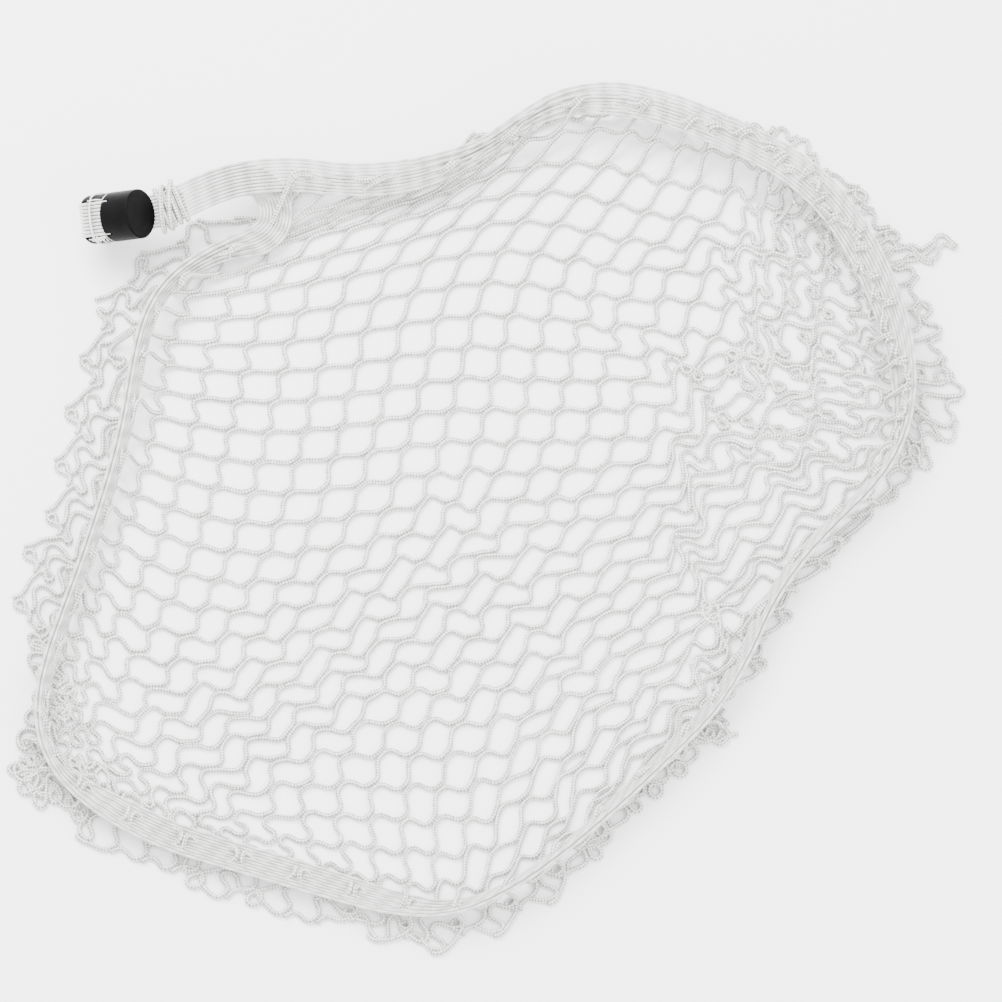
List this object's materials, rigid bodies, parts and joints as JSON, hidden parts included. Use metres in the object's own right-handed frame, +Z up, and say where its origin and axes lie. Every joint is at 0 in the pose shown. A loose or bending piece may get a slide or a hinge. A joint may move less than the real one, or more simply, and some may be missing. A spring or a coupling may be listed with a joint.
{
  "type": "sports net",
  "caption": "White knotless sports net gathered on a ribbon of elastic rim strands that ends in a black barrel stop, lying open and slack.",
  "frame": {"origin": "on the floor, under the middle of the whole object's box", "axes": "+Z up off the floor, +Y towards the rim's high side, +X from the barrel towards the rim's far side"},
  "size_m": [0.9571, 0.96, 0.0903],
  "materials": {
    "net_twine": "braided polyester twine, off-white, matt",
    "elastic_strand": "smooth white elastic cord, soft sheen",
    "black_moulding": "black moulded plastic, satin",
    "thread": "thin white twisted thread"
  },
  "bodies": {
    "root": {"net": "net_twine", "rim_strand_01": "elastic_strand", "rim_strand_02": "elastic_strand", "rim_strand_03": "elastic_strand", "rim_strand_04": "elastic_strand", "rim_strand_05": "elastic_strand", "rim_strand_06": "elastic_strand", "rim_strand_07": "elastic_strand", "rim_strand_08": "elastic_strand", "rim_strand_09": "elastic_strand", "rim_strand_10": "elastic_strand", "barrel_body": "black_moulding", "barrel_nose": "black_moulding", "nose_binding": "thread", "seam_thread": "thread", "neck_lashing": "net_twine"}
  },
  "joints": []
}
